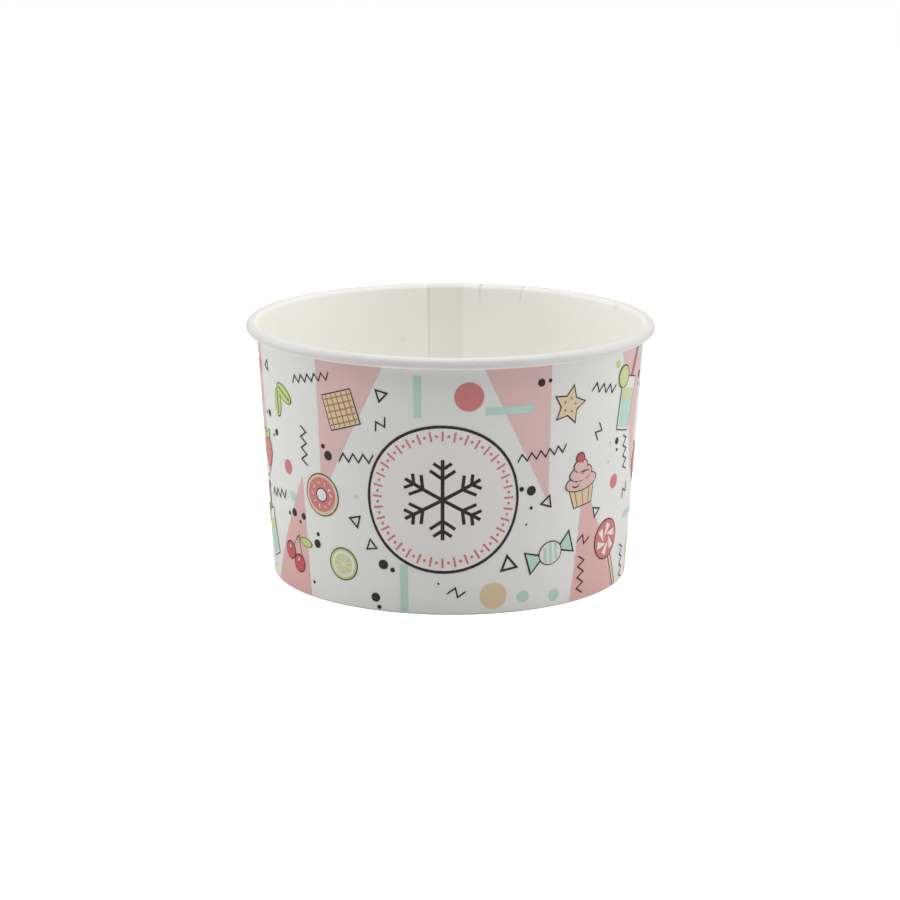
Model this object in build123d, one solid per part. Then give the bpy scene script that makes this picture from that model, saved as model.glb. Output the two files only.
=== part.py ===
from build123d import *
import os
from math import asin, atan2, cos, degrees, hypot, radians, sin, tan

# Sizes of the cup, in millimetres and degrees
rim_diameter = 95.0          # over the rolled rim
cup_height = 59.6            # table to the crest of the rim
base_diameter = 82.8         # outside of the wall, carried on down to the table
board_thickness = 0.33       # side wall board
curl_width = 2.74            # rolled rim, from the food side of the wall outwards
curl_height = 2.6            # rolled rim, crest to underside
curl_lip_turn = 75.0         # how far the lip turns up again behind the roll
curl_lip_gap = 0.08          # lip to the outside of the wall

lap_width = 8.4              # glued overlap of the side wall, measured at the rim
lap_ramp_width = 2.6         # run over which the outer flap climbs onto the inner one
lap_edge_angle = 96.8        # cut edge of the inner flap, seen from above, from +X

disc_thickness = 0.33        # board of the bottom disc
disc_recess = 6.5            # table to the underside of the bottom disc
disc_bend_radius = 1.1       # outside of the bend where the disc turns down into its skirt
hem_height = 4.9             # top of the hem above the table
fold_radius = 0.09           # inside radius of the two bends at the foot
seal_clearance = 0.05        # film and glue between two boards
knurl_pitch = 3.0            # grooves pressed into the hem to grip the skirt, round the foot
knurl_width = 0.8            # one groove at the face of the hem
knurl_depth = 0.11
knurl_foot = 1.2             # lower end of the grooves above the table
knurl_margin = 0.6           # upper end of the grooves below the top of the hem

# The rolled rim in section: one large turn over the crest, then a tighter one below
crest_radius = curl_width / 2
under_radius = curl_height - crest_radius
crest_centre = Vector(rim_diameter / 2 - crest_radius, 0, cup_height - crest_radius)
under_centre = crest_centre + Vector(crest_radius - under_radius, 0, 0)

# The wall leans out from the table and runs tangent into the rolled rim
wall_run = crest_centre.X - (base_diameter / 2 - board_thickness)
wall_reach = hypot(wall_run, crest_centre.Z)
wall_lean = atan2(wall_run, crest_centre.Z) - asin(crest_radius / wall_reach)
wall_normal = Vector(cos(wall_lean), 0, -sin(wall_lean))
wall_foot = Vector(base_diameter / 2 - board_thickness, 0, 0)
hem_gap = disc_thickness + 2 * seal_clearance

# The overlap in plan, as angles about the axis
top_inside_radius = crest_centre.X - crest_radius
lap_angle = degrees(lap_width / top_inside_radius)
ramp_angle = degrees(lap_ramp_width / top_inside_radius)
outer_flap_angle = lap_edge_angle - lap_angle

down = Vector(0, 0, -1)
outward = Vector(1, 0, 0)


def wall_point(height, offset):
    """A point of the section: up the food side of the wall, then square to it."""
    return wall_foot + Vector(height * tan(wall_lean), 0, height) + wall_normal * offset


def arc_about(centre, radius, start, end):
    """Arc about a centre, from one direction to another by the shorter way round."""
    middle = (start + end).normalized()
    return ThreePointArc(centre + start * radius, centre + middle * radius, centre + end * radius)


def board_face(layers, depth):
    """One side of the board in section, from the top of the hem to the lip of the roll.

    layers is how many boards lie together there, and depth is how far this side lies
    behind the side that faces the food.
    """
    floor = layers * board_thickness
    bend_height = floor + fold_radius
    inner_offset = fold_radius - hem_gap
    inner_rise = bend_height + inner_offset * sin(wall_lean)
    outer_rise = bend_height - fold_radius * sin(wall_lean)
    inner_bend = wall_point(inner_rise, inner_offset)
    outer_bend = wall_point(outer_rise, -fold_radius)
    fold = fold_radius + depth
    lip_radius = under_centre.X - top_inside_radius - floor - curl_lip_gap
    lip_centre = under_centre + Vector(0, 0, lip_radius - under_radius)
    lip_end = Vector(-sin(radians(curl_lip_turn)), 0, -cos(radians(curl_lip_turn)))

    hem_top = wall_point(hem_height, -hem_gap - depth)
    crest_start = crest_centre - wall_normal * (crest_radius - depth)
    return [
        Line(hem_top, inner_bend - wall_normal * fold),
        arc_about(inner_bend, fold, wall_normal * -1, down),
        Line(inner_bend + down * fold, outer_bend + down * fold),
        arc_about(outer_bend, fold, down, wall_normal),
        Line(outer_bend + wall_normal * fold, crest_start),
        arc_about(crest_centre, crest_radius - depth, wall_normal * -1, down * -1),
        arc_about(crest_centre, crest_radius - depth, down * -1, outward),
        arc_about(under_centre, under_radius - depth, outward, down),
        arc_about(lip_centre, lip_radius - depth, down, lip_end),
    ]


def board_section(layers, near, far, angle):
    """Radial section of the side wall at an angle about the axis."""
    near_side = board_face(layers, near * board_thickness)
    far_side = board_face(layers, far * board_thickness)
    hem_end = Line(near_side[0] @ 0, far_side[0] @ 0)
    lip_end = Line(near_side[-1] @ 1, far_side[-1] @ 1)
    outline = Wire(near_side + [lip_end] + far_side + [hem_end])
    return Face(outline).rotate(Axis.Z, angle)


def knurl_groove(layers, angle):
    """Round-bottomed groove along the hem, pressed from the side that faces the axis."""
    radius = (knurl_width ** 2 / 4 + knurl_depth ** 2) / (2 * knurl_depth)
    length = hem_height - knurl_margin - knurl_foot
    offset = knurl_depth - radius - hem_gap - layers * board_thickness
    middle = wall_point(knurl_foot + length / 2, offset)
    along = Vector(sin(wall_lean), 0, cos(wall_lean))
    roller = Plane(origin=middle, z_dir=along) * Cylinder(radius, length)
    return roller.rotate(Axis.Z, angle)


def knurl_angles(start, stop):
    """Evenly spaced angles between two edges of the hem, at about the pitch of the grooves."""
    hem_radius = wall_foot.X - hem_gap - board_thickness
    count = int(radians(stop - start) * hem_radius / knurl_pitch)
    return [start + (stop - start) * (k + 0.5) / count for k in range(count)]


def make_side_wall():
    """One board blank, wrapped round with a glued overlap, rolled at the rim and hemmed."""
    ramp_end_angle = lap_edge_angle + ramp_angle
    single = board_section(1, 0, 1, ramp_end_angle)
    around = revolve(single, Axis.Z, revolution_arc=360 - lap_angle - ramp_angle)
    double = board_section(2, 0, 2, outer_flap_angle)
    overlap = revolve(double, Axis.Z, revolution_arc=lap_angle)
    outer_flap = board_section(2, 1, 2, lap_edge_angle)
    ramp = loft([outer_flap, single], ruled=True)
    board = around + overlap + ramp
    single_stop = 360 + outer_flap_angle
    grooves = [knurl_groove(1, angle) for angle in knurl_angles(ramp_end_angle, single_stop)]
    grooves += [knurl_groove(2, angle) for angle in knurl_angles(outer_flap_angle, lap_edge_angle)]
    return board - grooves


def make_bottom_disc():
    """Disc of board whose edge is turned down into a skirt against the wall."""
    skirt_foot = 2 * board_thickness + seal_clearance
    outer = -seal_clearance
    inner = outer - disc_thickness
    top = disc_recess + disc_thickness
    bend_height = top - disc_bend_radius
    bend_offset = outer - disc_bend_radius
    bend_rise = bend_height + bend_offset * sin(wall_lean)
    bend = wall_point(bend_rise, bend_offset)
    inside_bend = disc_bend_radius - disc_thickness
    axis_top = Vector(0, 0, top)
    axis_under = Vector(0, 0, disc_recess)
    up = down * -1
    outline = Wire([
        Line(axis_top, bend + up * disc_bend_radius),
        arc_about(bend, disc_bend_radius, up, wall_normal),
        Line(bend + wall_normal * disc_bend_radius, wall_point(skirt_foot, outer)),
        Line(wall_point(skirt_foot, outer), wall_point(skirt_foot, inner)),
        Line(wall_point(skirt_foot, inner), bend + wall_normal * inside_bend),
        arc_about(bend, inside_bend, wall_normal, up),
        Line(bend + up * inside_bend, axis_under),
        Line(axis_under, axis_top),
    ])
    return revolve(Face(outline), Axis.Z)


os.makedirs("parts", exist_ok=True)
nodes = {"side_wall": make_side_wall(), "bottom_disc": make_bottom_disc()}
for name, piece in nodes.items():
    export_step(piece, f"parts/{name}.step")
    corners = piece.bounding_box()
    print(name, round(piece.volume, 2), corners.min, corners.max)
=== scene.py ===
import math
import random
import bpy
from mathutils import Matrix, Vector


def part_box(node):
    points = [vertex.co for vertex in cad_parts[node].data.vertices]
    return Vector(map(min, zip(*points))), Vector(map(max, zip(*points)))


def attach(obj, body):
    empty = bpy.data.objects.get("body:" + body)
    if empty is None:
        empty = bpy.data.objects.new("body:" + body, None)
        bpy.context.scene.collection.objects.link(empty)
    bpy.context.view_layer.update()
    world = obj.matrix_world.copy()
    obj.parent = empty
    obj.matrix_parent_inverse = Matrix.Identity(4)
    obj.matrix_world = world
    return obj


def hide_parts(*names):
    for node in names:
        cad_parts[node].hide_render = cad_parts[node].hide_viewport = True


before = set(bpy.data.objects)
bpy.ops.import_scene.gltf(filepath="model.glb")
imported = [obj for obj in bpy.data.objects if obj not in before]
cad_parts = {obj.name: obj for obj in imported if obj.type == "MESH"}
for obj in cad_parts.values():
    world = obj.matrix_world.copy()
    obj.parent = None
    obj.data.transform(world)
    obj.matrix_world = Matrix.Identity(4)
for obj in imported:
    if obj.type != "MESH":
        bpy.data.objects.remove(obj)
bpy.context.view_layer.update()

bpy.ops.object.select_all(action="DESELECT")
mm = 0.001

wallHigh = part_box("side_wall")[1]
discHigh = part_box("bottom_disc")[1]

cup = {
    "rimRadius": wallHigh[0],
    "height": wallHigh[2],
    "baseRadius": 41.4 * mm,      # outside of the wall, carried on down to the table
    "board": 0.33 * mm,
    "curlWidth": 2.74 * mm,
    "curlHeight": 2.6 * mm,
    "curlLipTurn": 75,            # degrees that the lip turns up behind the roll
    "lipGap": 0.08 * mm,
    "lapWidth": 8.4 * mm,
    "rampWidth": 2.6 * mm,
    "lapEdgeAngle": 96.8,         # cut edge of the inner flap, degrees from +X
    "hemGap": 0.43 * mm,          # room between wall and hem for the skirt of the disc
    "hemTop": 4.9 * mm,
    "foldRadius": 0.09 * mm,
}
crestRadius = cup["curlWidth"] / 2
underRadius = cup["curlHeight"] - crestRadius
crestX = cup["rimRadius"] - crestRadius
crestZ = cup["height"] - crestRadius
footX = cup["baseRadius"] - cup["board"]
wallLean = (math.atan2(crestX - footX, crestZ)
            - math.asin(crestRadius / math.hypot(crestX - footX, crestZ)))
outAcross = math.cos(wallLean)    # the wall's outward normal, across and down
outDown = math.sin(wallLean)


def linear(hexColour):
    # sRGB hex to the linear RGBA that the shaders take
    channels = [int(hexColour[i:i + 2], 16) / 255 for i in (1, 3, 5)]
    curve = [c / 12.92 if c <= 0.04045 else ((c + 0.055) / 1.055) ** 2.4 for c in channels]
    return (*curve, 1.0)


def addNode(tree, kind, inputs=None, **settings):
    # one node with its settings; each input is set to a value or fed from another node's socket
    node = tree.nodes.new(kind)
    for name, value in settings.items():
        setattr(node, name, value)
    for name, value in (inputs or {}).items():
        if isinstance(value, bpy.types.NodeSocket):
            tree.links.new(value, node.inputs[name])
        else:
            node.inputs[name].default_value = value
    return node


def newMaterial(name):
    material = bpy.data.materials.new(name)
    material.use_nodes = True
    material.node_tree.nodes.clear()
    return material, material.node_tree


def finishPiece(piece, body="root"):
    # puts the piece's place into its mesh and lets it ride on its body
    bpy.ops.object.select_all(action="DESELECT")
    bpy.context.view_layer.objects.active = piece
    piece.select_set(True)
    bpy.ops.object.transform_apply(location=True, rotation=True, scale=True)
    piece.select_set(False)
    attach(piece, body)


# Camera: a long lens a little above the rim, as the photograph was taken
view = {
    "distance": 680 * mm,
    "elevation": 13.32,
    "roll": 0.26,
    "focalPixels": 2895,
    "framePixels": 900,
    "aimAboveCentrePixels": 7.33,
}
aim = Vector((0, 0, cup["height"] / 2))
tilt = math.radians(view["elevation"])
cameraData = bpy.data.cameras.new("camera")
camera = bpy.data.objects.new("camera", cameraData)
bpy.context.collection.objects.link(camera)
camera.location = aim + view["distance"] * Vector((0, -math.cos(tilt), math.sin(tilt)))
camera.rotation_mode = "XYZ"
camera.rotation_euler = (aim - camera.location).to_track_quat("-Z", "Y").to_euler()
camera.rotation_euler.rotate_axis("Z", math.radians(view["roll"]))
cameraData.sensor_width = 36
cameraData.lens = 36 * view["focalPixels"] / view["framePixels"]
cameraData.shift_y = -view["aimAboveCentrePixels"] / view["framePixels"]
bpy.context.scene.camera = camera
print("camera placed")

# Light: soft boxes at both sides and at the front corners, one wide one over the front, one
# overhead, and a dim room; the small lamp over the mouth stands for what comes in through the
# thin white board
lamps = {
    "softboxLeft": {"place": (-0.9, 0.15, 0.25), "size": (0.6, 0.6), "watts": 2.68},
    "softboxRight": {"place": (0.9, 0.12, 0.27), "size": (0.6, 0.6), "watts": 2.6},
    "cornerLeft": {"place": (-0.75, -0.55, 0.55), "size": (0.5, 0.7), "watts": 0.38},
    "cornerRight": {"place": (0.75, -0.55, 0.55), "size": (0.5, 0.7), "watts": 0.67},
    "softboxFront": {"place": (0.0, -0.4, 0.95), "size": (1.6, 0.4), "watts": 3.9},
    "softboxTop": {"place": (0.0, 0.0, 1.1), "size": (0.9, 0.9), "watts": 3.3},
    "overMouth": {"place": (0.0, -0.01, 0.125), "size": (0.07, 0.07), "watts": 0.0118},
}
for lampName, lamp in lamps.items():
    lampData = bpy.data.lights.new(lampName, "AREA")
    lampData.shape = "RECTANGLE"
    lampData.size, lampData.size_y = lamp["size"]
    lampData.energy = lamp["watts"]
    lampObject = bpy.data.objects.new(lampName, lampData)
    lampObject.location = lamp["place"]
    lampObject.visible_camera = False
    lampObject.rotation_mode = "XYZ"
    lampObject.rotation_euler = (aim - lampObject.location).to_track_quat("-Z", "Y").to_euler()
    bpy.context.collection.objects.link(lampObject)

room = {"front": 0.0, "back": 0.57}     # level of the room before and behind the cup
world = bpy.data.worlds.new("room")
bpy.context.scene.world = world
world.use_nodes = True
roomTree = world.node_tree
roomTree.nodes.clear()
direction = addNode(roomTree, "ShaderNodeTexCoord").outputs["Generated"]
split = addNode(roomTree, "ShaderNodeSeparateXYZ", {"Vector": direction})
level = addNode(roomTree, "ShaderNodeMapRange",
                {"Value": split.outputs["Y"], "From Min": -1.0, "From Max": 1.0,
                 "To Min": room["front"], "To Max": room["back"]})
dim = addNode(roomTree, "ShaderNodeBackground",
              {"Color": linear("#FFFFFF"), "Strength": level.outputs["Result"]})
white = addNode(roomTree, "ShaderNodeBackground", {"Color": linear("#FFFFFF"), "Strength": 1.0})
roomRay = addNode(roomTree, "ShaderNodeLightPath").outputs["Is Camera Ray"]
roomMix = addNode(roomTree, "ShaderNodeMixShader", {0: roomRay, 1: dim.outputs[0], 2: white.outputs[0]})
addNode(roomTree, "ShaderNodeOutputWorld", {"Surface": roomMix.outputs[0]})
bpy.context.scene.view_settings.view_transform = "Standard"

# Floor: a wide white table that lights the cup as paper would; the camera sees it burnt out
# to white all round, with the shadow at the foot kept
table = {
    "size": 14, "centre": (0, 4, 0),
    "paper": "#EDEDED",
    "litLevel": 2, "glow": 1.2, "glowShare": 0.6,     # as the camera sees it
}
bpy.ops.mesh.primitive_plane_add(size=table["size"], location=table["centre"])
floor = bpy.context.object
floor.name = "floor"
floorMaterial, floorTree = newMaterial("whiteTable")
floorPaper = addNode(floorTree, "ShaderNodeBsdfDiffuse", {"Color": linear(table["paper"])})
floorGlow = addNode(floorTree, "ShaderNodeEmission",
                    {"Color": linear("#FFFFFF"), "Strength": table["glow"]})
floorLit = addNode(floorTree, "ShaderNodeBsdfDiffuse", {"Color": (*[table["litLevel"]] * 3, 1)})
floorShown = addNode(floorTree, "ShaderNodeMixShader",
                     {0: table["glowShare"], 1: floorLit.outputs[0], 2: floorGlow.outputs[0]})
floorRay = addNode(floorTree, "ShaderNodeLightPath").outputs["Is Camera Ray"]
floorMix = addNode(floorTree, "ShaderNodeMixShader",
                   {0: floorRay, 1: floorPaper.outputs[0], 2: floorShown.outputs[0]})
addNode(floorTree, "ShaderNodeOutputMaterial", {"Surface": floorMix.outputs[0]})
floor.data.materials.append(floorMaterial)
print("light and floor placed")

# Film-lined board, for the food side: white cup board under a clear film, satin, a little warm
# inside the cup, its whites partly its own and partly painted light for what comes through the thin
# board;
# painted shade marks faint spots where the print shows through, and the side seam where the board is
# double
foodLook = {
    # the whites of the food side: partly the board's own white, partly painted light for what comes in
    # through the thin board
    "warm": "#F9F6F0", "cool": "#F6F7F0",
    # the roll: partly its own neutral grey, partly painted shade dulling its highlight; its underside
    # tone is painted light from the table
    "roll": "#E8E7E3", "rollUndersidePaintedLight": "#F8F8F6",
    "roughness": 0.42,
    "mottle": 9 * mm, "spots": 17 * mm, "grain": 0.5 * mm,    # from one to the next
    # painted shade: level of the faint spots where the print shows through the board
    "paintedShowThrough": 0.95,
    "rollStart": 0.2 * mm, "rollFull": 1.1 * mm,              # out from the food side of the wall
    "rollFootStart": 2.0 * mm, "rollFootFull": 2.35 * mm,     # below the crest
    # the side seam is painted shade: a pink blush where the print shows through, then darker where the
    # board is double
    "seamFrom": 84, "seamTo": 98,                             # degrees from +X
    "blushStart": 85.4, "blushFrom": 86.8, "blushTo": 89.6, "doubledFrom": 91.28,
    "edgeBlur": 0.03,
    "blushPaintedShade": (0.955, 0.925, 0.918, 1),
    "doublePaintedShade": (0.94, 0.938, 0.932, 1),
    "creases": ((80.4, 1.0, -1.5, 0.8), (66.8, -0.3, 1.3, -0.8)),   # azimuth, bow, slant, height
    "creaseLength": 5.2 * mm,
    "creaseDepth": 0.2 * mm,
}
foodSide, tree = newMaterial("filmLinedBoard")
place = addNode(tree, "ShaderNodeTexCoord").outputs["Object"]
axes = addNode(tree, "ShaderNodeSeparateXYZ", {"Vector": place})
inPlan = addNode(tree, "ShaderNodeVectorMath", {0: place, 1: (1, 1, 0)}, operation="MULTIPLY")
across = addNode(tree, "ShaderNodeVectorMath", {0: inPlan.outputs[0]},
                 operation="LENGTH").outputs["Value"]
turned = addNode(tree, "ShaderNodeMath", {0: axes.outputs["Y"], 1: axes.outputs["X"]},
                 operation="ARCTAN2")
azimuth = addNode(tree, "ShaderNodeMath", {0: turned.outputs[0]}, operation="DEGREES").outputs[0]

# warm and cool patches, and spots of painted shade where the print outside shows through the board
mottle = addNode(tree, "ShaderNodeTexNoise",
                 {"Vector": place, "Scale": 1 / foodLook["mottle"], "Detail": 3.0, "Roughness": 0.6})
patches = addNode(tree, "ShaderNodeMapRange",
                  {"Value": mottle.outputs["Fac"], "From Min": 0.35, "From Max": 0.65},
                  interpolation_type="SMOOTHSTEP")
plain = addNode(tree, "ShaderNodeMix",
                {0: patches.outputs["Result"], 6: linear(foodLook["warm"]),
                 7: linear(foodLook["cool"])}, data_type="RGBA").outputs[2]
spots = addNode(tree, "ShaderNodeTexVoronoi", {"Vector": place, "Scale": 1 / foodLook["spots"]})
showThroughShade = addNode(tree, "ShaderNodeMapRange",
                {"Value": spots.outputs["Distance"], "From Min": 0.05, "From Max": 0.10,
                 "To Min": foodLook["paintedShowThrough"]}, interpolation_type="SMOOTHSTEP").outputs["Result"]
paintedShowThrough = addNode(tree, "ShaderNodeCombineColor", {"Red": showThroughShade, "Green": showThroughShade, "Blue": showThroughShade})
withShowThroughShade = addNode(tree, "ShaderNodeMix", {0: 1.0, 6: plain, 7: paintedShowThrough.outputs[0]},
                  data_type="RGBA", blend_type="MULTIPLY").outputs[2]

# the seam in painted shade: a blush where the print beneath it shows through, then darker where the
# board is double, up to the cut edge; not on the disc
seamShare = addNode(tree, "ShaderNodeMapRange",
                    {"Value": azimuth, "From Min": foodLook["seamFrom"],
                     "From Max": foodLook["seamTo"]})
seam = addNode(tree, "ShaderNodeValToRGB", {"Fac": seamShare.outputs["Result"]})
stops = seam.color_ramp.elements
seamPaintedShades = [
    (foodLook["blushStart"], (1, 1, 1, 1)),
    (cup["lapEdgeAngle"] + foodLook["edgeBlur"], (1, 1, 1, 1)),
    (foodLook["blushFrom"], foodLook["blushPaintedShade"]),
    (foodLook["blushTo"], foodLook["blushPaintedShade"]),
    (foodLook["doubledFrom"], foodLook["doublePaintedShade"]),
    (cup["lapEdgeAngle"] - foodLook["edgeBlur"], foodLook["doublePaintedShade"]),
]
for k, (degrees, colour) in enumerate(seamPaintedShades):
    position = (degrees - foodLook["seamFrom"]) / (foodLook["seamTo"] - foodLook["seamFrom"])
    stop = stops[k] if k < 2 else stops.new(position)    # a new ramp has two stops
    stop.position = position
    stop.color = colour
withSeamShade = addNode(tree, "ShaderNodeMix", {0: 1.0, 6: withShowThroughShade, 7: seam.outputs["Color"]},
                 data_type="RGBA", blend_type="MULTIPLY").outputs[2]
aboveDisc = addNode(tree, "ShaderNodeMapRange",
                    {"Value": axes.outputs["Z"], "From Min": discHigh[2] + 0.02 * mm,
                     "From Max": discHigh[2] + 0.1 * mm}, interpolation_type="SMOOTHSTEP")
inside = addNode(tree, "ShaderNodeMix", {0: aboveDisc.outputs["Result"], 6: plain, 7: withSeamShade},
                 data_type="RGBA").outputs[2]

# the roll, greyer, partly its own neutral tone and partly painted shade that dulls its highlight, and
# lighter along its underside with a painted light for the glow from the table below
rollInside = cup["rimRadius"] - cup["curlWidth"]
onRoll = addNode(tree, "ShaderNodeMapRange",
                 {"Value": across, "From Min": rollInside + foodLook["rollStart"],
                  "From Max": rollInside + foodLook["rollFull"]}, interpolation_type="SMOOTHSTEP")
rollUndersideLitMask = addNode(tree, "ShaderNodeMapRange",
                    {"Value": axes.outputs["Z"], "From Min": cup["height"] - foodLook["rollFootStart"],
                     "From Max": cup["height"] - foodLook["rollFootFull"]},
                    interpolation_type="SMOOTHSTEP")
rollShadeAndLight = addNode(tree, "ShaderNodeMix",
                   {0: rollUndersideLitMask.outputs["Result"], 6: linear(foodLook["roll"]),
                    7: linear(foodLook["rollUndersidePaintedLight"])}, data_type="RGBA").outputs[2]
tone = addNode(tree, "ShaderNodeMix", {0: onRoll.outputs["Result"], 6: inside, 7: rollShadeAndLight},
               data_type="RGBA").outputs[2]

# fine grain, and creases that run down from the crest inside the rim, bowed and fading out
grain = addNode(tree, "ShaderNodeTexNoise",
                {"Vector": place, "Scale": 1 / foodLook["grain"], "Detail": 3.0, "Roughness": 0.7})
relief = addNode(tree, "ShaderNodeBump",
                 {"Height": grain.outputs["Fac"], "Strength": 0.09, "Distance": 0.1 * mm})
below = addNode(tree, "ShaderNodeMath", {0: cup["height"], 1: axes.outputs["Z"]}, operation="SUBTRACT")
drop = addNode(tree, "ShaderNodeMath", {0: below.outputs[0], 1: foodLook["creaseLength"]},
               operation="DIVIDE").outputs[0]
fade = addNode(tree, "ShaderNodeMapRange", {"Value": drop, "From Min": 1.0, "From Max": 0.6},
               interpolation_type="SMOOTHSTEP")
insideRim = addNode(tree, "ShaderNodeMapRange",
                    {"Value": across, "From Min": crestX + 0.8 * mm, "From Max": crestX},
                    interpolation_type="SMOOTHSTEP")
creased = 0.0
for centre, bow, slant, height in foodLook["creases"]:
    # azimuth of the crease: centre + drop * (4 * bow * (1 - drop) + slant)
    lean = addNode(tree, "ShaderNodeMath", {0: drop, 1: -4 * bow, 2: 4 * bow + slant},
                   operation="MULTIPLY_ADD")
    course = addNode(tree, "ShaderNodeMath", {0: lean.outputs[0], 1: drop, 2: centre},
                     operation="MULTIPLY_ADD")
    apart = addNode(tree, "ShaderNodeMath", {0: azimuth, 1: course.outputs[0]}, operation="SUBTRACT")
    off = addNode(tree, "ShaderNodeMath", {0: apart.outputs[0]}, operation="ABSOLUTE")
    line = addNode(tree, "ShaderNodeMapRange",
                   {"Value": off.outputs[0], "From Min": 0.3, "From Max": 0.02, "To Max": height},
                   interpolation_type="SMOOTHSTEP")
    creased = addNode(tree, "ShaderNodeMath",
                      {0: line.outputs["Result"], 1: fade.outputs["Result"], 2: creased},
                      operation="MULTIPLY_ADD").outputs[0]
creased = addNode(tree, "ShaderNodeMath", {0: creased, 1: insideRim.outputs["Result"]},
                  operation="MULTIPLY").outputs[0]
crease = addNode(tree, "ShaderNodeBump",
                 {"Height": creased, "Normal": relief.outputs["Normal"], "Strength": 1.0,
                  "Distance": foodLook["creaseDepth"]})
shader = addNode(tree, "ShaderNodeBsdfPrincipled",
                 {"Base Color": tone, "Normal": crease.outputs["Normal"], "IOR": 1.47,
                  "Specular IOR Level": 0.4, "Roughness": foodLook["roughness"]})
addNode(tree, "ShaderNodeOutputMaterial", {"Surface": shader.outputs[0]})

# Clay-coated board: matt white outside with a faint mottle of the fibres, browned by the fold
# at the very foot; the same with other tones for the cut edge, where the bare fibre shows
boardLook = {
    "mottle": 6 * mm, "grain": 0.5 * mm,                      # from one to the next
    "footTone": "#CDBFA8", "footStart": 0.34 * mm, "footFull": 0.12 * mm,
    "roughnessSpread": 0.05,
}


def boardMaterial(name, paper, shade, roughness):
    material, tree = newMaterial(name)
    place = addNode(tree, "ShaderNodeTexCoord").outputs["Object"]
    mottle = addNode(tree, "ShaderNodeTexNoise",
                     {"Vector": place, "Scale": 1 / boardLook["mottle"], "Detail": 4.0,
                      "Roughness": 0.6}).outputs["Fac"]
    paperTone = addNode(tree, "ShaderNodeMix", {0: mottle, 6: linear(paper), 7: linear(shade)},
                        data_type="RGBA")
    axes = addNode(tree, "ShaderNodeSeparateXYZ", {"Vector": place})
    atFoot = addNode(tree, "ShaderNodeMapRange",
                     {"Value": axes.outputs["Z"], "From Min": boardLook["footStart"],
                      "From Max": boardLook["footFull"]}, interpolation_type="SMOOTHSTEP")
    tone = addNode(tree, "ShaderNodeMix",
                   {0: atFoot.outputs["Result"], 6: paperTone.outputs[2],
                    7: linear(boardLook["footTone"])}, data_type="RGBA")
    grain = addNode(tree, "ShaderNodeTexNoise",
                    {"Vector": place, "Scale": 1 / boardLook["grain"], "Detail": 3.0, "Roughness": 0.7})
    relief = addNode(tree, "ShaderNodeBump",
                     {"Height": grain.outputs["Fac"], "Strength": 0.09, "Distance": 0.1 * mm})
    rough = addNode(tree, "ShaderNodeMapRange",
                    {"Value": mottle, "From Min": 0.2, "From Max": 0.8,
                     "To Min": roughness - boardLook["roughnessSpread"],
                     "To Max": roughness + boardLook["roughnessSpread"]},
                    interpolation_type="SMOOTHSTEP")
    shader = addNode(tree, "ShaderNodeBsdfPrincipled",
                     {"Base Color": tone.outputs[2], "Normal": relief.outputs["Normal"],
                      "Roughness": rough.outputs["Result"], "IOR": 1.47, "Specular IOR Level": 0.22})
    addNode(tree, "ShaderNodeOutputMaterial", {"Surface": shader.outputs[0]})
    return material


printSide = boardMaterial("clayCoatedBoard", "#F2F2EE", "#EEEEE9", 0.5)
cutEdge = boardMaterial("cutBoardEdge", "#E9E6DC", "#DDD9CC", 0.85)
print("board materials made")

# Side wall: the section is drawn from hem to lip, then swept round as one lapped sheet
sheet = {
    "aroundSteps": 595,
    "wallRows": 12,
    "foldSteps": 5,
    "crestSteps": 18,
    "underSteps": 10,
    "lipSteps": 8,
    "footBand": 1.32 * mm,        # what lies lower belongs to the fold at the foot
    "filmGap": 0.01 * mm,         # glue between the two flaps
    "grooveColumns": 7,           # one groove of the hem in so many columns
    "grooveMiddle": 3,            # the column of them that is pressed in
    "grooveRows": (2, 4),         # first and last row of a groove, from the top of the hem
    "grooveDepth": 0.11 * mm,
    "grooveLow": 1.2 * mm,
    "grooveHigh": 4.3 * mm,
}


def wallPoint(height, offset):
    # up the food side of the wall, then square to it
    return Vector((footX + height * math.tan(wallLean) + offset * outAcross, 0,
                   height - offset * outDown))


def selectVerts(mesh, wanted):
    # leaves edit mode, marks the vertices that are wanted and goes back in
    bpy.ops.mesh.select_all(action="DESELECT")
    bpy.ops.object.mode_set(mode="OBJECT")
    for vertex in mesh.vertices:
        vertex.select = wanted(vertex)
    bpy.ops.object.mode_set(mode="EDIT")


def drawTo(mesh, point, steps):
    # carries the end of the line on to a point
    bpy.ops.object.mode_set(mode="OBJECT")
    here = next(v.co.copy() for v in mesh.vertices if v.select)
    bpy.ops.object.mode_set(mode="EDIT")
    for _ in range(steps):
        bpy.ops.mesh.extrude_region_move(TRANSFORM_OT_translate={"value": (point - here) / steps})


def drawRound(centre, degrees, steps):
    # carries the end of the line round a centre; degrees are positive to the left
    bpy.ops.mesh.spin(steps=steps, angle=math.radians(degrees), center=centre, axis=(0, 1, 0))


bendHeight = cup["board"] + cup["foldRadius"]
innerOffset = cup["foldRadius"] - cup["hemGap"]
innerBend = wallPoint(bendHeight + innerOffset * outDown, innerOffset)
outerBend = wallPoint(bendHeight - cup["foldRadius"] * outDown, -cup["foldRadius"])
towardAxis = Vector((-outAcross, 0, outDown))
crestCentre = Vector((crestX, 0, crestZ))
underCentre = Vector((crestX + crestRadius - underRadius, 0, crestZ))
lipRadius = underCentre.x - (crestX - crestRadius) - cup["board"] - cup["lipGap"]
lipCentre = underCentre + Vector((0, 0, lipRadius - underRadius))
leanDegrees = math.degrees(wallLean)
lapDegrees = math.degrees(cup["lapWidth"] / (crestX - crestRadius))
rampDegrees = math.degrees(cup["rampWidth"] / (crestX - crestRadius))

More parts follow.
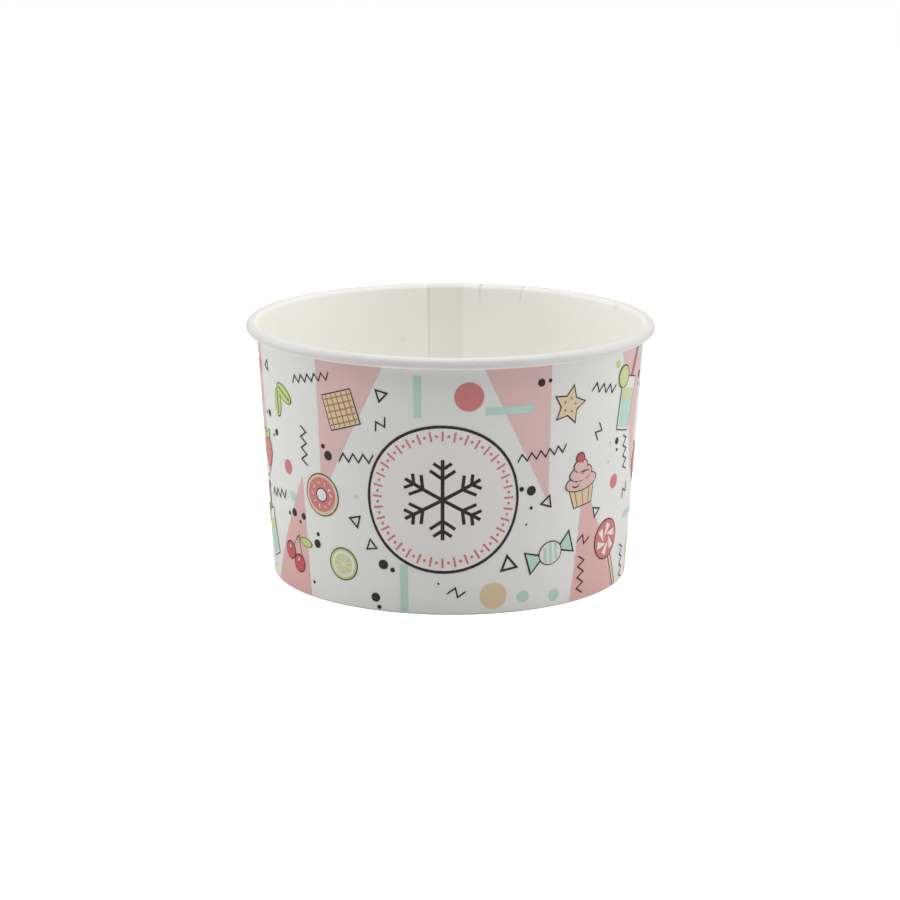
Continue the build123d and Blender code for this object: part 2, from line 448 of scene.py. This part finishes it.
bpy.ops.mesh.primitive_plane_add(size=mm, location=(0, 0, 0))
sideWall = bpy.context.object
sideWall.name = "sideWallBoard"
wallMesh = sideWall.data
bpy.ops.object.mode_set(mode="EDIT")
bpy.ops.mesh.select_all(action="SELECT")
bpy.ops.mesh.merge(type="CENTER")
bpy.ops.transform.translate(value=wallPoint(cup["hemTop"], -cup["hemGap"]))
drawTo(wallMesh, wallPoint(sheet["grooveHigh"], -cup["hemGap"]), 2)
drawTo(wallMesh, wallPoint(sheet["grooveLow"], -cup["hemGap"]), 2)
drawTo(wallMesh, innerBend + towardAxis * cup["foldRadius"], 2)
drawRound(innerBend, 90 + leanDegrees, sheet["foldSteps"])
drawTo(wallMesh, outerBend + Vector((0, 0, -cup["foldRadius"])), 1)
drawRound(outerBend, 90 - leanDegrees, sheet["foldSteps"])
drawTo(wallMesh, crestCentre + towardAxis * crestRadius, sheet["wallRows"])
drawRound(crestCentre, leanDegrees - 180, sheet["crestSteps"])
drawRound(underCentre, -90, sheet["underSteps"])
drawRound(lipCentre, -cup["curlLipTurn"], sheet["lipSteps"])
bpy.ops.object.mode_set(mode="OBJECT")
rows = len(wallMesh.vertices)
bpy.ops.object.mode_set(mode="EDIT")
bpy.ops.mesh.select_all(action="SELECT")
bpy.ops.mesh.spin(steps=sheet["aroundSteps"], angle=math.radians(360 + lapDegrees),
                  center=(0, 0, 0), axis=(0, 0, 1))
bpy.ops.mesh.select_all(action="SELECT")
bpy.ops.mesh.normals_make_consistent(inside=False)
bpy.ops.object.mode_set(mode="OBJECT")
middleFace = min(wallMesh.polygons, key=lambda f: (f.center - wallPoint(cup["height"] / 2, 0)).length)
facesAxis = middleFace.normal.x < 0
bpy.ops.object.mode_set(mode="EDIT")
if not facesAxis:
    bpy.ops.mesh.flip_normals()


def column(vertex):
    return vertex.index // rows


# the outer flap climbs on to the inner one and lies on it up to its own cut edge
stepDegrees = (360 + lapDegrees) / sheet["aroundSteps"]
rampStart = math.ceil((360 - rampDegrees) / stepDegrees)
rampStop = math.floor(360 / stepDegrees)
climb = cup["board"] + sheet["filmGap"]
for step in range(rampStart, rampStop + 1):
    share = (step - rampStart + 1) / (rampStop - rampStart + 1)
    last = step if step < rampStop else sheet["aroundSteps"]
    selectVerts(wallMesh, lambda v: step <= column(v) <= last)
    bpy.ops.transform.shrink_fatten(value=-climb * share)
    selectVerts(wallMesh, lambda v: step <= column(v) <= last and v.co.z < sheet["footBand"])
    bpy.ops.transform.translate(value=(0, 0, climb * share))
lapColumns = math.floor(lapDegrees / stepDegrees)
selectVerts(wallMesh, lambda v: column(v) <= lapColumns and v.co.z < sheet["footBand"])
bpy.ops.transform.translate(value=(0, 0, climb))
# where the wall is double, the lip of the inner flap is turned tighter, clear of the outer one
lipReach = underCentre.x - crestX + crestRadius - cup["board"] - cup["lipGap"]
for row in range(rows - sheet["lipSteps"], rows):
    lipX = wallMesh.vertices[rows * (sheet["aroundSteps"] // 2) + row].co.xy.length
    shift = climb * (underCentre.x - lipX) / lipReach
    selectVerts(wallMesh, lambda v: column(v) <= lapColumns + 1 and v.index % rows == row)
    bpy.ops.transform.resize(value=(1 + shift / lipX, 1 + shift / lipX, 1), center_override=(0, 0, 0))
bpy.ops.object.mode_set(mode="OBJECT")
sideWall.rotation_euler.z = math.radians(cup["lapEdgeAngle"])
bpy.ops.object.transform_apply(location=True, rotation=True, scale=True)

thickness = sideWall.modifiers.new("thickness", "SOLIDIFY")
thickness.thickness = cup["board"]
thickness.offset = -1
thickness.use_even_offset = True
thickness.use_quality_normals = True
thickness.material_offset = 1
thickness.material_offset_rim = 2
for material in (foodSide, printSide, cutEdge):
    wallMesh.materials.append(material)
sheetVerts = len(wallMesh.vertices)
bpy.ops.object.modifier_apply(modifier="thickness")
bpy.ops.object.mode_set(mode="EDIT")
bpy.ops.mesh.select_mode(type="VERT")
grooveFirst, grooveLast = sheet["grooveRows"]
selectVerts(wallMesh, lambda v: sheetVerts <= v.index < 2 * sheetVerts
            and grooveFirst <= (v.index - sheetVerts) % rows <= grooveLast
            and (v.index - sheetVerts) // rows % sheet["grooveColumns"] == sheet["grooveMiddle"])
bpy.ops.transform.shrink_fatten(value=-sheet["grooveDepth"])
bpy.ops.object.mode_set(mode="OBJECT")
bpy.ops.object.shade_smooth_by_angle(angle=math.radians(40))
finishPiece(sideWall)
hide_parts("side_wall")
print("side wall swept", len(sideWall.data.polygons))

# Print: flat shapes are cut once, stamped on the wall where they go, and draped over it
inkFilm = {
    "low": 0.36 * mm,             # the print runs from the fold at the foot
    "high": 56.9 * mm,            # to the roll
    "clear": 0.22 * mm,           # at first the print is wrapped this far above the board
    "edgeStrip": 0.5,             # degrees left bare along the cut edge of the outer flap
    "lift": 0.022 * mm,           # first layer above the board
    "layerStep": 0.013 * mm,
    "thickness": 0.01 * mm,
    "rollClear": 1.9 * mm,        # the bed of the print ends this far in from the rim
    "facetDegrees": 2,
    "pen": 0.5,                   # an outline adds this much to a width, in millimetres
    "penAtPoints": 1.2,           # and this much to a shape with sharp points
}
inkColours = {                    # at the top of the wall and at the foot
    "Pink": ("#EAC8C5", "#E8B9B6"),
    "Sand": ("#EAD5B4", "#E4CDAA"),
    "Mint": ("#C4E4D8", "#BFDED1"),
    "Lime": ("#DBE0AC", "#D7DCA6"),
    "Leaf": ("#CDE28A", "#C5DC82"),
    "Coral": ("#DC8586", "#D87E80"),
    "Cherry": ("#D45F69", "#D05963"),
    "Caramel": ("#B98A5C", "#B08256"),
    "White": ("#F3F0EC", "#F2EFEA"),
    "Charcoal": ("#2D261B", "#2B2419"),
}
stamped = {}


def flatDisc(sides, squash=1.0):
    bpy.ops.mesh.primitive_circle_add(vertices=sides, radius=0.5 * mm, fill_type="NGON")
    bpy.ops.object.mode_set(mode="EDIT")
    bpy.ops.transform.resize(value=(1, squash, 1))
    bpy.ops.object.mode_set(mode="OBJECT")
    return bpy.context.object


def flatRing(radius, width, sides):
    # an outline: a ring of edges, widened outwards
    bpy.ops.mesh.primitive_circle_add(vertices=sides, radius=radius * mm)
    bpy.ops.object.mode_set(mode="EDIT")
    bpy.ops.mesh.select_all(action="SELECT")
    bpy.ops.mesh.extrude_region_move()
    grown = (radius + width) / radius
    bpy.ops.transform.resize(value=(grown, grown, 1), center_override=(0, 0, 0))
    bpy.ops.object.mode_set(mode="OBJECT")
    return bpy.context.object


def flatTaper(foot):
    # a square, narrowed or widened at its lower edge
    bpy.ops.mesh.primitive_plane_add(size=mm)
    bpy.ops.object.mode_set(mode="EDIT")
    selectVerts(bpy.context.object.data, lambda v: v.co.y < 0)
    bpy.ops.transform.resize(value=(foot, 1, 1))
    bpy.ops.object.mode_set(mode="OBJECT")
    return bpy.context.object


def flatTriangle():
    bpy.ops.mesh.primitive_circle_add(vertices=3, radius=mm, fill_type="NGON")
    bpy.ops.object.mode_set(mode="EDIT")
    bpy.ops.transform.resize(value=(1 / math.sqrt(3), 1 / 1.5, 1), center_override=(0, 0, 0))
    bpy.ops.object.mode_set(mode="OBJECT")
    return bpy.context.object


def flatDrop(reach):
    # a disc with its lower end drawn in to a point
    shape = flatDisc(28)
    bpy.ops.object.mode_set(mode="EDIT")
    selectVerts(shape.data, lambda v: v.co.y < -0.49 * mm)
    bpy.ops.transform.translate(value=(0, -0.14 * mm, 0))
    selectVerts(shape.data, lambda v: v.co.y < -0.2 * mm)
    bpy.ops.transform.resize(value=(reach, 1, 1))
    bpy.ops.object.mode_set(mode="OBJECT")
    return shape


def flatStroke(steps, width):
    # a pen line with upright ends, through steps of (across, up) in millimetres
    bpy.ops.mesh.primitive_plane_add(size=mm)
    bpy.ops.object.mode_set(mode="EDIT")
    bpy.ops.transform.resize(value=(0, width, 1))
    bpy.ops.mesh.remove_doubles(threshold=0.01 * mm)
    half = Vector((sum(step[0] for step in steps), sum(step[1] for step in steps), 0)) * mm / 2
    bpy.ops.transform.translate(value=-half)
    for across, up in steps:
        bpy.ops.mesh.extrude_region_move(TRANSFORM_OT_translate={"value": (across * mm, up * mm, 0)})
    bpy.ops.object.mode_set(mode="OBJECT")
    return bpy.context.object


def zigzag(turns, run, rise, width):
    return flatStroke([(run, rise if k % 2 == 0 else -rise) for k in range(turns)], width)


def flatStar(points, inner):
    shape = flatDisc(points * 2)
    bpy.ops.object.mode_set(mode="EDIT")
    selectVerts(shape.data, lambda v: v.index % 2 == 1)
    bpy.ops.transform.resize(value=(inner, inner, 1), center_override=(0, 0, 0))
    bpy.ops.object.mode_set(mode="OBJECT")
    return shape


def onWall(azimuth, height, turn, scale=1.0):
    # frame of a flat shape on the printed side; azimuth is in degrees from the front to the right
    angle = math.radians(azimuth - 90)
    radius = footX + height * mm * math.tan(wallLean) + cup["board"] / outAcross
    out = Vector((math.cos(angle) * outAcross, math.sin(angle) * outAcross, -outDown))
    along = Vector((-math.sin(angle), math.cos(angle), 0))
    place = Matrix((along, out.cross(along), out)).transposed().to_4x4()
    place.translation = Vector((math.cos(angle) * radius, math.sin(angle) * radius, height * mm))
    return place @ Matrix.Rotation(math.radians(turn), 4, "Z") @ Matrix.Diagonal((scale, scale, 1, 1))


def stamp(shape, colour, layer, place, shift=(0, 0), size=(1, 1), turn=0):
    # a copy of a flat shape, laid on the wall; its own size is 1 mm unless it is a pen line
    local = Matrix.Translation((shift[0] * mm, shift[1] * mm, 0))
    local = local @ Matrix.Rotation(math.radians(turn), 4, "Z") @ Matrix.Diagonal((*size, 1, 1))
    mesh = shape.data.copy()
    if sum(face.normal.z * face.area for face in mesh.polygons) < 0:
        mesh.flip_normals()
    mesh.transform(place @ local)
    copy = bpy.data.objects.new("stamp", mesh)
    bpy.context.collection.objects.link(copy)
    stamped.setdefault((colour, layer), []).append(copy)


cut = {
    "disc": flatDisc(36),
    "dot": flatDisc(20),
    "leaf": flatDisc(20, 0.5),
    "bar": flatTaper(1.0),
    "bucket": flatTaper(0.7),
    "triangle": flatTriangle(),
    "drop": flatDrop(0.86),
    "star": flatStar(5, 0.52),
    "longWave": zigzag(11, 1.15, 1.7, 0.6),
    "wave": zigzag(7, 1.3, 1.95, 0.64),
    "tick": zigzag(3, 1.25, 1.9, 0.64),
    "openTriangle": flatRing(1.2, 0.8, 3),
    "stalk": flatStroke([(0.5, 1.5), (0.5, 1.5), (0.8, 1.3)], 0.5),
    "curl": flatStroke([(0.5, 0.35), (0.55, 0.12), (0.55, -0.12), (0.5, -0.35)], 0.3),
}

# Small drawings, each a list of shape, colour, layer, place, size, turn, and if it is outlined
drawings = {
    "cherryPair": [
        ("stalk", "Charcoal", 3, (-1.0, 1.5), (1, 1), 8, False),
        ("stalk", "Charcoal", 3, (1.0, 1.4), (0.9, 0.9), 62, False),
        ("disc", "Cherry", 4, (-2.0, -2.0), (3.7, 3.7), 0, True),
        ("disc", "Cherry", 4, (2.1, -2.3), (3.7, 3.7), 0, True),
        ("leaf", "Leaf", 4, (2.1, 3.7), (3.9, 3.5), 20, True),
        ("dot", "Pink", 6, (-2.6, -1.3), (0.8, 0.9), 0, False),
        ("dot", "Pink", 6, (1.5, -1.6), (0.8, 0.9), 0, False),
    ],
    "doughnut": [
        ("disc", "Sand", 3, (0, 0), (8.8, 8.8), 0, True),
        ("disc", "Coral", 5, (0, 0.1), (7.6, 7.5), 0, False),
        ("disc", "White", 6, (0, 0), (2.6, 2.6), 0, True),
    ] + [("bar", ("White", "Mint", "Lime")[k % 3], 6,
          (2.6 * math.cos(math.radians(37 * k)), 2.6 * math.sin(math.radians(37 * k))),
          (0.9, 0.28), 71 * k, False) for k in range(10)],
    "citrusSlice": [
        ("disc", "Leaf", 3, (0, 0), (6.9, 6.9), 0, True),
        ("disc", "White", 5, (0, 0), (5.9, 5.9), 0, False),
    ] + [("triangle", "Lime", 6,
          (1.62 * math.cos(math.radians(45 * k)), 1.62 * math.sin(math.radians(45 * k))),
          (1.75, 2.0), 45 * k + 90, False) for k in range(8)],
    "waffle": [
        ("bar", "Sand", 3, (0, 0), (7.2, 7.2), 0, True),
    ] + [("bar", "Caramel", 5, (0, 1.35 * k), (6.9, 0.3), 0, False) for k in range(-2, 3)]
      + [("bar", "Caramel", 6, (1.35 * k, 0), (6.9, 0.3), 90, False) for k in range(-2, 3)],
    "wrappedSweet": [
        ("triangle", "Mint", 3, (-4.4, 0), (4.4, 3.4), -90, True),
        ("triangle", "Mint", 3, (4.4, 0), (4.4, 3.4), 90, True),
        ("disc", "White", 5, (0, 0), (5.4, 4.8), 0, True),
        ("bar", "Mint", 7, (-1.35, 0), (0.8, 3.6), -14, False),
        ("bar", "Mint", 7, (0, 0), (0.8, 4.3), -14, False),
        ("bar", "Mint", 7, (1.35, 0), (0.8, 3.6), -14, False),
    ],
    "starBiscuit": [
        ("star", "Sand", 3, (0, 0), (8.0, 8.0), 0, True),
    ] + [("dot", "Caramel", 5,
          (1.5 * math.cos(math.radians(72 * k + 90)), 1.5 * math.sin(math.radians(72 * k + 90))),
          (0.6, 0.6), 0, False) for k in range(5)],
    "cupcake": [
        ("bucket", "Sand", 3, (0, -3.6), (7.4, 4.6), 0, True),
        ("bar", "Caramel", 5, (-2.0, -3.6), (0.3, 4.4), 9, False),
        ("bar", "Caramel", 5, (0, -3.6), (0.3, 4.5), 0, False),
        ("bar", "Caramel", 5, (2.0, -3.6), (0.3, 4.4), -9, False),
        ("disc", "Pink", 6, (0, -0.6), (9.0, 3.5), 0, True),
        ("disc", "Pink", 7, (0, 1.4), (6.4, 3.2), 0, True),
        ("disc", "Pink", 8, (0, 3.1), (3.8, 2.6), 0, True),
        ("curl", "Charcoal", 9, (1.3, 1.2), (1, 1), 8, False),
        ("curl", "Charcoal", 9, (-1.8, -0.9), (1, 1), 176, False),
        ("disc", "Cherry", 9, (0, 4.9), (2.1, 2.1), 0, True),
    ],
    "lollipop": [
        ("bar", "Sand", 3, (0, -6.4), (0.9, 8.6), 0, True),
        ("disc", "Coral", 5, (0, 1.6), (8.4, 8.4), 0, True),
    ] + [("triangle", "White", 7,
          (2.3 * math.cos(math.radians(60 * k)), 1.6 + 2.3 * math.sin(math.radians(60 * k))),
          (1.7, 3.2), 60 * k + 62, False) for k in range(6)],
    "tallDrink": [
        ("bar", "Coral", 3, (1.7, 6.0), (0.8, 7.6), -16, True),
        ("bucket", "White", 5, (0, -1.6), (7.0, 10.4), 0, True),
        ("bucket", "Mint", 7, (0, -2.5), (6.0, 7.8), 0, False),
        ("bar", "Lime", 8, (0, 0.2), (5.9, 2.2), 0, False),
        ("disc", "Leaf", 7, (-3.1, 3.5), (4.2, 4.2), 0, True),
        ("disc", "Lime", 9, (-3.1, 3.5), (3.0, 3.0), 0, False),
    ],
    "strawberry": [
        ("drop", "Coral", 3, (0, -0.6), (5.8, 6.6), 0, True),
        ("leaf", "Leaf", 5, (-1.4, 2.6), (3.0, 2.6), -28, True),
        ("leaf", "Leaf", 5, (1.4, 2.6), (3.0, 2.6), 28, True),
    ] + [("dot", "Lime", 5, spot, (0.42, 0.6), 0, False)
         for spot in ((-1.4, 0.2), (0.1, 0.5), (1.5, 0.1), (-0.8, -1.3), (0.8, -1.2), (0.0, -2.7))],
    "sprig": [
        ("leaf", "Leaf", 3, (-1.9, 0.2), (5.4, 5.0), 58, True),
        ("leaf", "Leaf", 5, (1.5, 0.6), (5.6, 5.2), 118, True),
        ("bar", "Charcoal", 7, (-1.9, 0.2), (4.6, 0.22), 58, False),
        ("bar", "Charcoal", 7, (1.5, 0.6), (4.8, 0.22), 118, False),
    ],
}


def draw(name, place):
    for shape, colour, layer, shift, size, turn, outlined in drawings[name]:
        if outlined:
            pen = inkFilm["penAtPoints" if shape in ("triangle", "star") else "pen"]
            stamp(cut[shape], "Charcoal", layer, place, shift, (size[0] + pen, size[1] + pen), turn)
            layer += 1
        stamp(cut[shape], colour, layer, place, shift, size, turn)


# Badge at the front: a frost star in a circle of dashes and dots, with a dark ring round them
badge = {
    "azimuth": -2.1, "height": 26.95,                 # degrees and millimetres, as onWall takes them
    "radius": 17.2, "line": 0.68, "sides": 120,
    "wrap": 1.053,                                    # wider, as it is bent round the wall
    "dashes": 36, "dashRadius": 14.7, "dash": (2.3, 0.46), "dot": (0.7, 0.7),
    "armLength": 9.3, "armWidth": 0.8,
    "twigs": ((0.52, 3.3), (0.76, 2.4)),              # share of the arm where it starts, length
    "twigWidth": 0.74, "twigDegrees": 54,
}
badgePlace = onWall(badge["azimuth"], badge["height"], 0) @ Matrix.Diagonal((badge["wrap"], 1, 1, 1))
badgeRing = flatRing(badge["radius"] - badge["line"], badge["line"], badge["sides"])
badgeFace = 2 * badge["radius"] - badge["line"]
cut["wideDisc"] = flatDisc(badge["sides"])
stamp(cut["wideDisc"], "White", 2, badgePlace, size=(badgeFace, badgeFace))
stamp(badgeRing, "Charcoal", 4, badgePlace)
for k in range(badge["dashes"] * 2):
    turn = 180 * k / badge["dashes"]
    shift = (badge["dashRadius"] * math.cos(math.radians(turn)),
             badge["dashRadius"] * math.sin(math.radians(turn)))
    if k % 2:
        stamp(cut["dot"], "Coral", 4, badgePlace, shift, badge["dot"])
    else:
        stamp(cut["bar"], "Coral", 4, badgePlace, shift, badge["dash"], turn)
for k in range(6):
    turn = 60 * k + 30
    arm = Vector((math.cos(math.radians(turn)), math.sin(math.radians(turn)))) * badge["armLength"]
    stamp(cut["bar"], "Charcoal", 4, badgePlace, arm / 2, (badge["armLength"], badge["armWidth"]), turn)
    for side in (-1, 1):
        bend = turn + side * badge["twigDegrees"]
        twigWay = Vector((math.cos(math.radians(bend)), math.sin(math.radians(bend))))
        for reach, length in badge["twigs"]:
            stamp(cut["bar"], "Charcoal", 5, badgePlace, arm * reach + twigWay * length / 2,
                  (length, badge["twigWidth"]), bend)
print("badge stamped")

# Large pale wedges, set round the wall as listed: azimuth, height, width, length, turn
wedges = [
    (-82, 47, 15, 34, 194), (-57, 8, 17, 32, -14), (-34, 48, 19, 36, 166), (23, 48, 17, 36, 194),
    (50, 8, 18, 32, 12), (71, 48, 16, 34, 188), (93, 8, 16, 31, -10), (112, 47, 16, 34, 160),
    (134, 8, 15, 29, 14), (154, 48, 16, 35, 196), (175, 9, 16, 32, -8), (197, 48, 15, 34, 168),
    (218, 8, 16, 30, 16), (238, 48, 16, 35, 190), (258, 8, 15, 30, -18),
]
for azimuth, height, width, length, turn in wedges:
    stamp(cut["triangle"], "Pink", 0, onWall(azimuth, height, turn), size=(width, length))

# The small shapes are scattered evenly: each goes where the most room is left
scatter = {
    "seed": 13,
    "tries": 90,                  # places that are looked at for each shape
    "top": 56.5,                  # upper end of the print, in millimetres
    "drawings": 28,
    "drawingTurn": 34,            # most that a drawing leans to either side, in degrees
    "drawingScale": (0.98, 1.2),
    "spotPairs": 22,
    "spotSize": (1.5, 2.5),
}
chance = random.Random(scatter["seed"])
taken = [(badge["azimuth"], badge["height"], badge["radius"])]
printRadius = (footX + cup["rimRadius"]) / 2 / mm


def roomAt(azimuth, height):
    gaps = []
    for otherAzimuth, otherHeight, reach in taken:
        apart = (azimuth - otherAzimuth + 180) % 360 - 180
        gaps.append(math.hypot(math.radians(apart) * printRadius, height - otherHeight) - reach)
    return min(gaps)


def roomySpots(count, reach, margin):
    # places for shapes of one reach, each at least a margin from both ends of the print
    found = []
    for _ in range(count):
        tries = [(chance.uniform(-180, 180), chance.uniform(margin, scatter["top"] - margin))
                 for _ in range(scatter["tries"])]
        azimuth, height = max(tries, key=lambda spot: roomAt(*spot))
        taken.append((azimuth, height, reach))
        found.append((azimuth, height))
    return found


def scatterShape(count, reach, margin, name, colour, layer, sizes, turns):
    for k, (azimuth, height) in enumerate(roomySpots(count, reach, margin)):
        size = sizes[k % len(sizes)]
        stamp(cut[name], colour, layer, onWall(azimuth, height, turns[k % len(turns)]), size=size)


# the drawings follow each other in turn round the wall, so that no two alike are neighbours
for k, (azimuth, height) in enumerate(sorted(roomySpots(scatter["drawings"], 6.6, 9.5))):
    leant = chance.uniform(-scatter["drawingTurn"], scatter["drawingTurn"])
    scale = chance.uniform(*scatter["drawingScale"])
    draw(list(drawings)[k % len(drawings)], onWall(azimuth, height, leant, scale))
scatterShape(10, 3.8, 4, "disc", "Sand", 1, [(7.0, 7.0), (6.2, 6.2), (7.4, 7.4)], [0])
scatterShape(6, 3.0, 4, "disc", "Coral", 2, [(6.6, 6.6), (3.2, 3.2), (3.4, 3.4)], [0])
scatterShape(12, 4.4, 4, "bar", "Mint", 2, [(9.6, 1.75), (7.6, 1.7), (11, 1.75)], [90, 0, -14, 90, 38])
scatterShape(8, 5.6, 4, "longWave", "Charcoal", 3, [(1, 1)], [84, -8, 6, 96, 12])
scatterShape(12, 4.2, 4, "wave", "Charcoal", 3, [(1, 1)], [8, 90, -12, 4, -80])
scatterShape(12, 2.0, 3, "tick", "Charcoal", 3, [(1, 1)], [0, 30, -20, 60])
scatterShape(12, 1.8, 3, "openTriangle", "Charcoal", 3, [(1, 1), (1.3, 1.3), (0.9, 0.9)],
             [10, 47, 75, 100])
scatterShape(12, 1.5, 2, "dot", "Lime", 1, [(2.8, 2.8), (2.5, 2.5)], [0])
scatterShape(8, 1.4, 2, "dot", "Mint", 2, [(2.8, 2.8), (2.4, 2.4)], [0])
scatterShape(14, 0.7, 2, "dot", "Mint", 2, [(1.2, 1.2), (0.8, 0.8), (1.0, 1.0)], [0])
scatterShape(5, 0.8, 2, "dot", "Leaf", 2, [(1.8, 1.8)], [0])
scatterShape(10, 0.5, 2, "dot", "Charcoal", 3, [(0.5, 0.5), (0.8, 0.8)], [0])
# a larger and a smaller spot of black side by side
for azimuth, height in roomySpots(scatter["spotPairs"], 1.7, 3):
    place = onWall(azimuth, height, chance.uniform(0, 360))
    size = chance.uniform(*scatter["spotSize"])
    stamp(cut["dot"], "Charcoal", 3, place, size=(size, size))
    stamp(cut["dot"], "Charcoal", 3, place, (size / 2 + 1.3, 0.2), (size / 2, size / 2))
for shape in [*cut.values(), badgeRing]:
    bpy.data.objects.remove(shape)
print("print stamped", sum(len(copies) for copies in stamped.values()))

# a plain cone just above the board first, then the printed side of the wall itself, without
# roll and foot and without the part of the inner flap that the outer one covers
lowEdge = footX + cup["board"] / outAcross
highEdge = lowEdge + cup["height"] * math.tan(wallLean)
bpy.ops.mesh.primitive_cone_add(vertices=360, radius1=lowEdge, radius2=highEdge,
                                depth=cup["height"], end_fill_type="NOTHING",
                                location=(0, 0, cup["height"] / 2))
cone = bpy.context.object
bed = sideWall.copy()
bed.data = sideWall.data.copy()
bpy.context.collection.objects.link(bed)
bpy.ops.object.select_all(action="DESELECT")
bpy.context.view_layer.objects.active = bed
bed.select_set(True)
bpy.ops.object.mode_set(mode="EDIT")
bpy.ops.mesh.select_all(action="DESELECT")
bpy.ops.object.mode_set(mode="OBJECT")
for face in bed.data.polygons:
    middle, normal = face.center, face.normal
    upright = face.material_index == 1 and abs(normal.z) < 0.2
    facesOut = normal.x * middle.x + normal.y * middle.y > 0
    onPlainWall = middle.xy.length < cup["rimRadius"] - inkFilm["rollClear"] and middle.z < crestZ
    covered = max((v - sheetVerts) // rows for v in face.vertices) <= lapColumns
    face.select = not (upright and facesOut and onPlainWall and not covered)
bpy.ops.object.mode_set(mode="EDIT")
bpy.ops.mesh.delete(type="FACE")
bpy.ops.object.mode_set(mode="OBJECT")
print("bed of the print ready", len(bed.data.polygons))

# Offset printing ink: thin and matt, a little uneven in its cover and fuller towards the foot
inkLook = {
    "thinnest": 45 * mm, "fullest": 2 * mm,      # heights
    "grain": 0.6 * mm,
    "paper": "#F2F2EE", "paperShare": 0.06,      # what shows through where the cover is thin
    "roughness": 0.45,
}


def inkMaterial(name, high, low):
    material, tree = newMaterial(name)
    place = addNode(tree, "ShaderNodeTexCoord").outputs["Object"]
    axes = addNode(tree, "ShaderNodeSeparateXYZ", {"Vector": place})
    fuller = addNode(tree, "ShaderNodeMapRange",
                     {"Value": axes.outputs["Z"], "From Min": inkLook["thinnest"],
                      "From Max": inkLook["fullest"]}, interpolation_type="SMOOTHSTEP")
    full = addNode(tree, "ShaderNodeMix",
                   {0: fuller.outputs["Result"], 6: linear(high), 7: linear(low)}, data_type="RGBA")
    cover = addNode(tree, "ShaderNodeTexNoise",
                    {"Vector": place, "Scale": 1 / inkLook["grain"], "Detail": 4.0, "Roughness": 0.7})
    thin = addNode(tree, "ShaderNodeMapRange",
                   {"Value": cover.outputs["Fac"], "From Min": 0.25, "From Max": 0.75,
                    "To Max": inkLook["paperShare"]}, interpolation_type="SMOOTHSTEP")
    tone = addNode(tree, "ShaderNodeMix",
                   {0: thin.outputs["Result"], 6: full.outputs[2], 7: linear(inkLook["paper"])},
                   data_type="RGBA")
    shader = addNode(tree, "ShaderNodeBsdfPrincipled",
                     {"Base Color": tone.outputs[2], "IOR": 1.5, "Specular IOR Level": 0.1,
                      "Roughness": inkLook["roughness"]})
    addNode(tree, "ShaderNodeOutputMaterial", {"Surface": shader.outputs[0]})
    return material


# azimuths from +X where the print bends at the ramp, and where it ends at the cut edge
rampColumns = rampStop + 1 - rampStart
rampCuts = [cup["lapEdgeAngle"] + 360 - (rampStart - 1 + k * rampColumns / 2) * stepDegrees
            for k in range(3)]
flapEdge = cup["lapEdgeAngle"] - lapDegrees
edgeCuts = [flapEdge - inkFilm["edgeStrip"], flapEdge]


def drape(colour):
    # joins the stamps of one colour, cuts them fine enough to bend, and lays them on the wall
    layers = []
    for (inkName, layer), copies in stamped.items():
        if inkName != colour:
            continue
        bpy.ops.object.select_all(action="DESELECT")
        for copy in copies:
            copy.select_set(True)
        film = copies[0]
        bpy.context.view_layer.objects.active = film
        if len(copies) > 1:
            bpy.ops.object.join()
        bpy.ops.object.mode_set(mode="EDIT")
        for turned in [*range(0, 180, inkFilm["facetDegrees"]), *rampCuts, *edgeCuts]:
            angle = math.radians(turned)
            bpy.ops.mesh.select_all(action="SELECT")
            bpy.ops.mesh.bisect(plane_co=(0, 0, 0), plane_no=(math.sin(angle), -math.cos(angle), 0))
        bpy.ops.mesh.select_all(action="DESELECT")
        bpy.ops.object.mode_set(mode="OBJECT")
        for face in film.data.polygons:
            turned = math.degrees(math.atan2(face.center.y, face.center.x))
            face.select = edgeCuts[0] < turned < edgeCuts[1]
        bpy.ops.object.mode_set(mode="EDIT")
        bpy.ops.mesh.delete(type="FACE")
        bpy.ops.object.mode_set(mode="OBJECT")
        for target, offset in ((cone, inkFilm["clear"]),
                               (bed, inkFilm["lift"] + layer * inkFilm["layerStep"])):
            wrap = film.modifiers.new("drape", "SHRINKWRAP")
            wrap.target = target
            wrap.wrap_method = "NEAREST_SURFACEPOINT"
            wrap.wrap_mode = "ABOVE_SURFACE"
            wrap.offset = offset
            bpy.ops.object.modifier_apply(modifier="drape")
        bpy.ops.object.mode_set(mode="EDIT")
        for height, side in ((inkFilm["high"], 1), (inkFilm["low"], -1)):
            bpy.ops.mesh.select_all(action="SELECT")
            bpy.ops.mesh.bisect(plane_co=(0, 0, height), plane_no=(0, 0, side), clear_outer=True)
        bpy.ops.object.mode_set(mode="OBJECT")
        layers.append(film)
    bpy.ops.object.select_all(action="DESELECT")
    for film in layers:
        film.select_set(True)
    ink = layers[0]
    bpy.context.view_layer.objects.active = ink
    if len(layers) > 1:
        bpy.ops.object.join()
    body = ink.modifiers.new("body", "SOLIDIFY")
    body.thickness = inkFilm["thickness"]
    body.offset = 1
    bpy.ops.object.modifier_apply(modifier="body")
    bpy.ops.object.shade_smooth_by_angle(angle=math.radians(40))
    ink.name = "ink" + colour
    ink.data.materials.clear()
    ink.data.materials.append(inkMaterial("offsetInk" + colour, *inkColours[colour]))
    finishPiece(ink)
    print("ink", colour, len(ink.data.polygons))


for colour in inkColours:
    drape(colour)
for helper in (bed, cone):
    bpy.data.objects.remove(helper)

# Bottom disc: the plain solid, dressed in the board of the food side
bpy.data.objects["bottom_disc"].material_slots[0].material = foodSide
